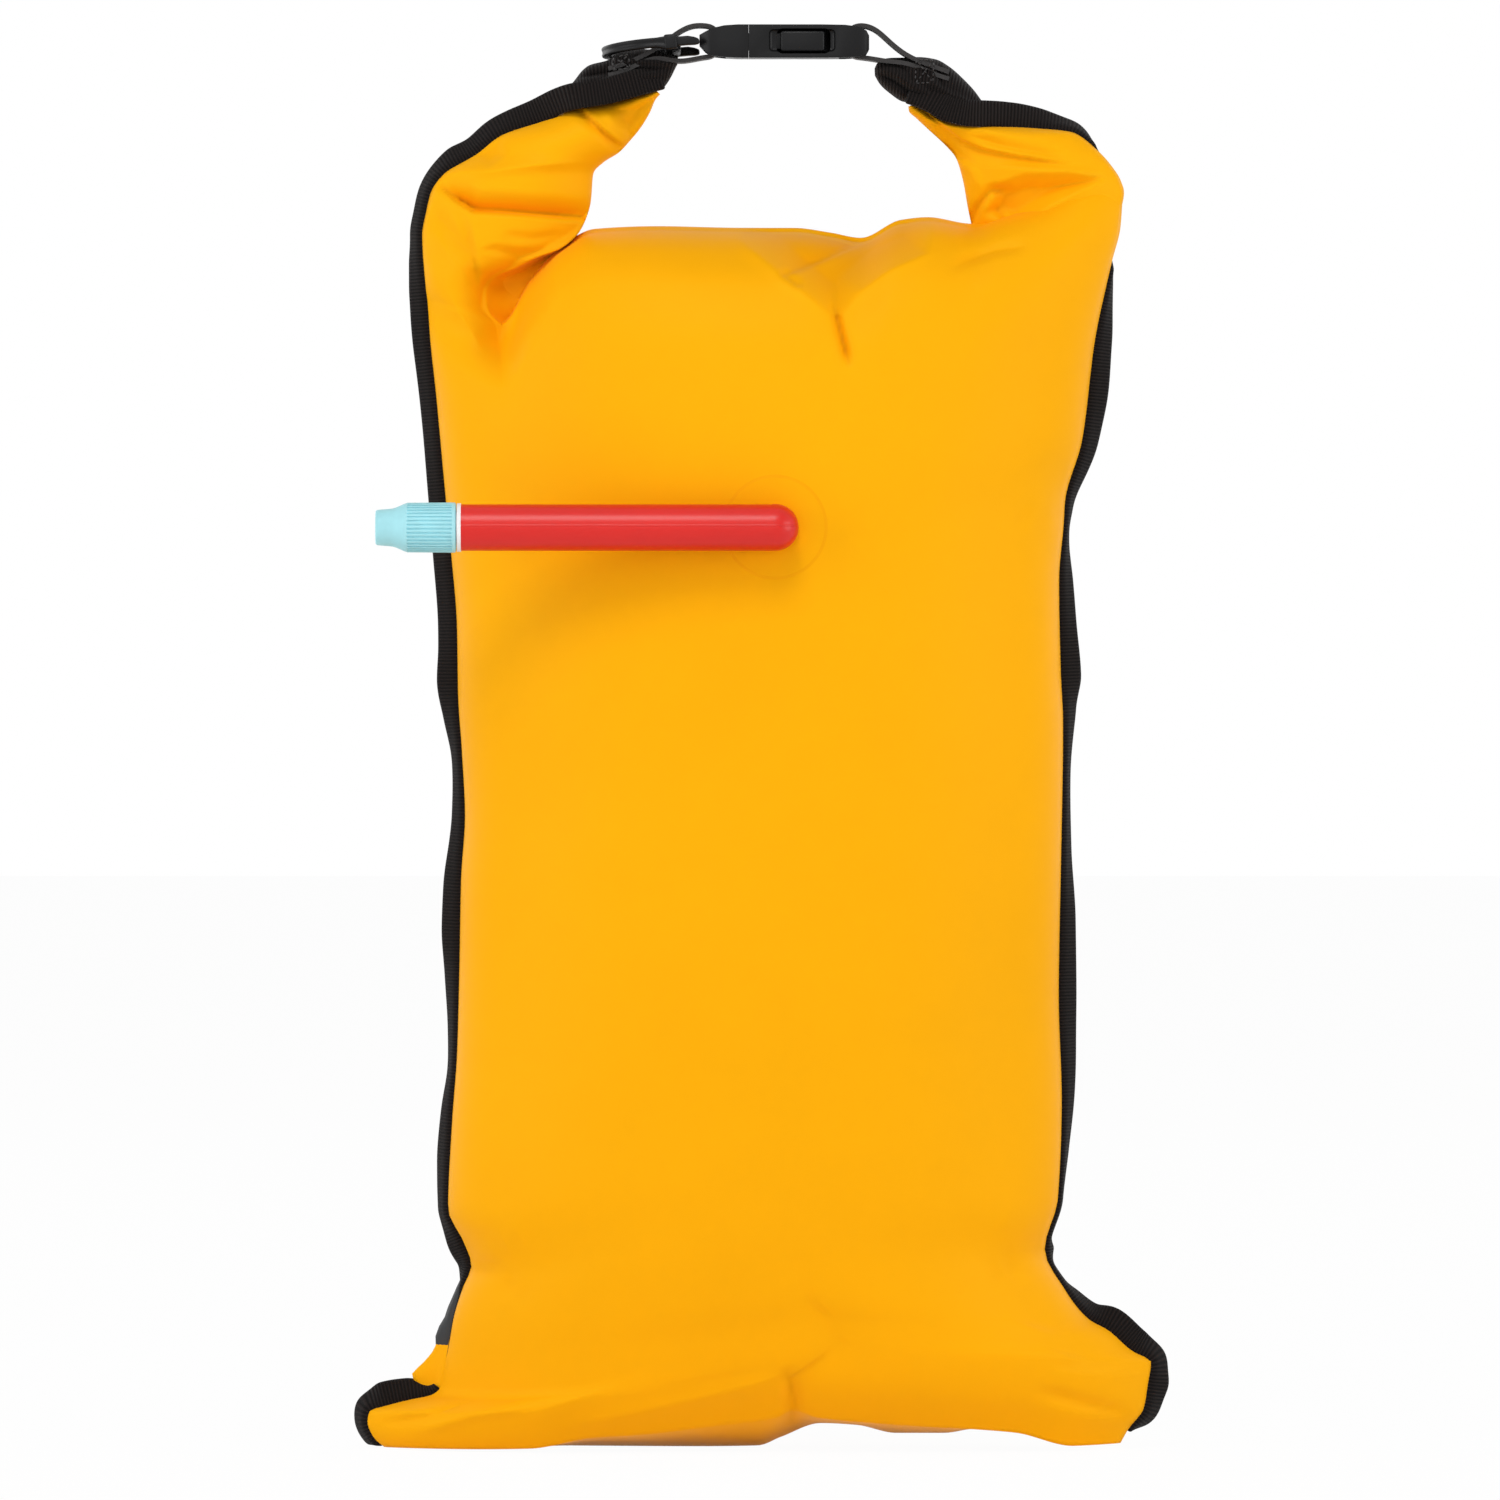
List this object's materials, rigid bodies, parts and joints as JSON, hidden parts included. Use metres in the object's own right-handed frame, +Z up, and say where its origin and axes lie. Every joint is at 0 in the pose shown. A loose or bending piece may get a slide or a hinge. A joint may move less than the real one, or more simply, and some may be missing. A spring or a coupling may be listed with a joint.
{
  "type": "inflatable roll-top dry bag",
  "caption": "Inflatable roll-top dry bag with bound side seams, a collar that buckles into a carry handle, a D-ring and an oral inflation tube with a twist valve.",
  "frame": {"origin": "on the floor under the middle of the bag's flat foot, in the plane of the side seams", "axes": "+X to the right as seen from the tube side, +Y to the back, +Z up from the foot to the buckle"},
  "size_m": [0.3056, 0.1399, 0.5338],
  "materials": {
    "coated_fabric": "coated, semi-matt",
    "binding_tape": "ribbed woven tape",
    "mouth_band": "woven, matt",
    "webbing": "ribbed webbing",
    "thread": "stitched thread",
    "buckle_plastic": "moulded, satin",
    "stiffener_plastic": "smooth",
    "grey_fabric": "smooth coated",
    "red_tube": "glossy, flexible",
    "clear_flange": "welded disc",
    "white_plastic": "smooth",
    "seal_rubber": "smooth",
    "blue_plastic": "fine ribbed grip"
  },
  "bodies": {
    "bag": {"front_panel": "coated_fabric", "back_panel": "coated_fabric", "side_binding_left": "binding_tape", "side_binding_right": "binding_tape", "seam_flange_left": "coated_fabric", "seam_flange_right": "coated_fabric", "rolled_mouth": "coated_fabric", "mouth_stiffener": "stiffener_plastic", "back_reinforcement": "grey_fabric", "tube_flange": "clear_flange", "tube_stub": "red_tube"},
    "left_arm": {"collar_arm_left": "coated_fabric", "arm_binding_left": "binding_tape", "mouth_band_left": "mouth_band", "webbing_loop_left": "webbing", "bar_tack_left": "thread"},
    "right_arm": {"collar_arm_right": "coated_fabric", "arm_binding_right": "binding_tape", "mouth_band_right": "mouth_band", "webbing_loop_right": "webbing", "bar_tack_right": "thread"},
    "male_half": {"buckle_male": "buckle_plastic"},
    "female_half": {"buckle_female": "buckle_plastic"},
    "front_release": {"release_arm_front": "buckle_plastic"},
    "back_release": {"release_arm_back": "buckle_plastic"},
    "ring": {"d_ring": "buckle_plastic"},
    "inflation_tube": {"tube": "red_tube", "valve_neck": "white_plastic"},
    "valve_seal": {"nozzle_seal": "seal_rubber"},
    "valve_cap": {"nozzle_cap": "blue_plastic"}
  },
  "joints": [
    {"name": "left_arm_swing", "type": "hinge", "parent": "bag", "child": "left_arm", "pos_m": [-0.133, 0, 0.449], "axis": [0, -1, 0], "range_deg": [0, 10.5]},
    {"name": "right_arm_swing", "type": "hinge", "parent": "bag", "child": "right_arm", "pos_m": [0.1484, 0, 0.449], "axis": [0, 1, 0], "range_deg": [0, 10.5]},
    {"name": "male_level", "type": "hinge", "parent": "left_arm", "child": "male_half", "pos_m": [-0.0215, 0, 0.527], "axis": [0, 1, 0], "range_deg": [0, 10.5]},
    {"name": "female_level", "type": "hinge", "parent": "right_arm", "child": "female_half", "pos_m": [0.0369, 0, 0.527], "axis": [0, -1, 0], "range_deg": [0, 10.5]},
    {"name": "front_release_squeeze", "type": "hinge", "parent": "male_half", "child": "front_release", "pos_m": [-0.009, -0.0108, 0.527], "axis": [0, 0, 1], "range_deg": [0, 10.5]},
    {"name": "back_release_squeeze", "type": "hinge", "parent": "male_half", "child": "back_release", "pos_m": [-0.009, 0.0108, 0.527], "axis": [0, 0, -1], "range_deg": [0, 10.5]},
    {"name": "d_ring_flip", "type": "hinge", "parent": "left_arm", "child": "ring", "pos_m": [-0.031, 0, 0.523], "axis": [0, 1, 0], "range_deg": [0, 95]},
    {"name": "tube_swing", "type": "hinge", "parent": "bag", "child": "inflation_tube", "pos_m": [0.0049, -0.0709, 0.346], "axis": [0, 0, 1], "range_deg": [0, 60], "stiffness_Nm_per_rad": 0.05},
    {"name": "nozzle_turn", "type": "hinge", "parent": "inflation_tube", "child": "valve_seal", "pos_m": [-0.1114, -0.0709, 0.346], "axis": [-1, 0, 0], "range_deg": [0, 270]},
    {"name": "nozzle_lift", "type": "slide", "parent": "valve_seal", "child": "valve_cap", "axis": [-1, 0, 0], "range_m": [0, 0.003]}
  ],
  "couplings": [
    {"joint": "right_arm_swing", "follows": "left_arm_swing", "ratio": 1},
    {"joint": "male_level", "follows": "left_arm_swing", "ratio": 1},
    {"joint": "female_level", "follows": "left_arm_swing", "ratio": 1},
    {"joint": "front_release_squeeze", "follows": "left_arm_swing", "ratio": 1},
    {"joint": "back_release_squeeze", "follows": "left_arm_swing", "ratio": 1},
    {"joint": "nozzle_turn", "follows": "nozzle_lift", "rad_per_m": 1570.8}
  ]
}
